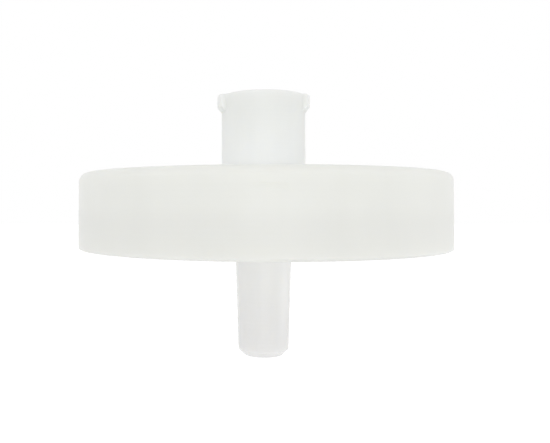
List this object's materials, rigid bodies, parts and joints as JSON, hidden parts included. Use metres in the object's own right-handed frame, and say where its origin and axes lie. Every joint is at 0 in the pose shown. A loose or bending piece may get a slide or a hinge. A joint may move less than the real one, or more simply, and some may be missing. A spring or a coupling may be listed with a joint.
{
  "type": "syringe filter",
  "caption": "Round disc-shaped syringe filter with a female luer-lock inlet above, a tapered male luer slip outlet below and a moulded rim ring.",
  "frame": {"origin": "centre of the inlet's mouth, on the flow axis", "axes": "+Z along the flow axis, out of the inlet towards the syringe; the two luer-lock lugs lie on +X and -X; the outlet points along -Z"},
  "size_m": [0.0286, 0.0286, 0.0204],
  "materials": {
    "ring_plastic": "semi-gloss moulded, milky, very slightly warm",
    "housing_plastic": "satin to semi-gloss moulded, milky translucent",
    "membrane_film": "matt, microporous"
  },
  "bodies": {
    "root": {"inlet_housing": "housing_plastic", "outlet_housing": "housing_plastic", "sealing_ring": "ring_plastic", "membrane": "membrane_film"}
  },
  "joints": []
}
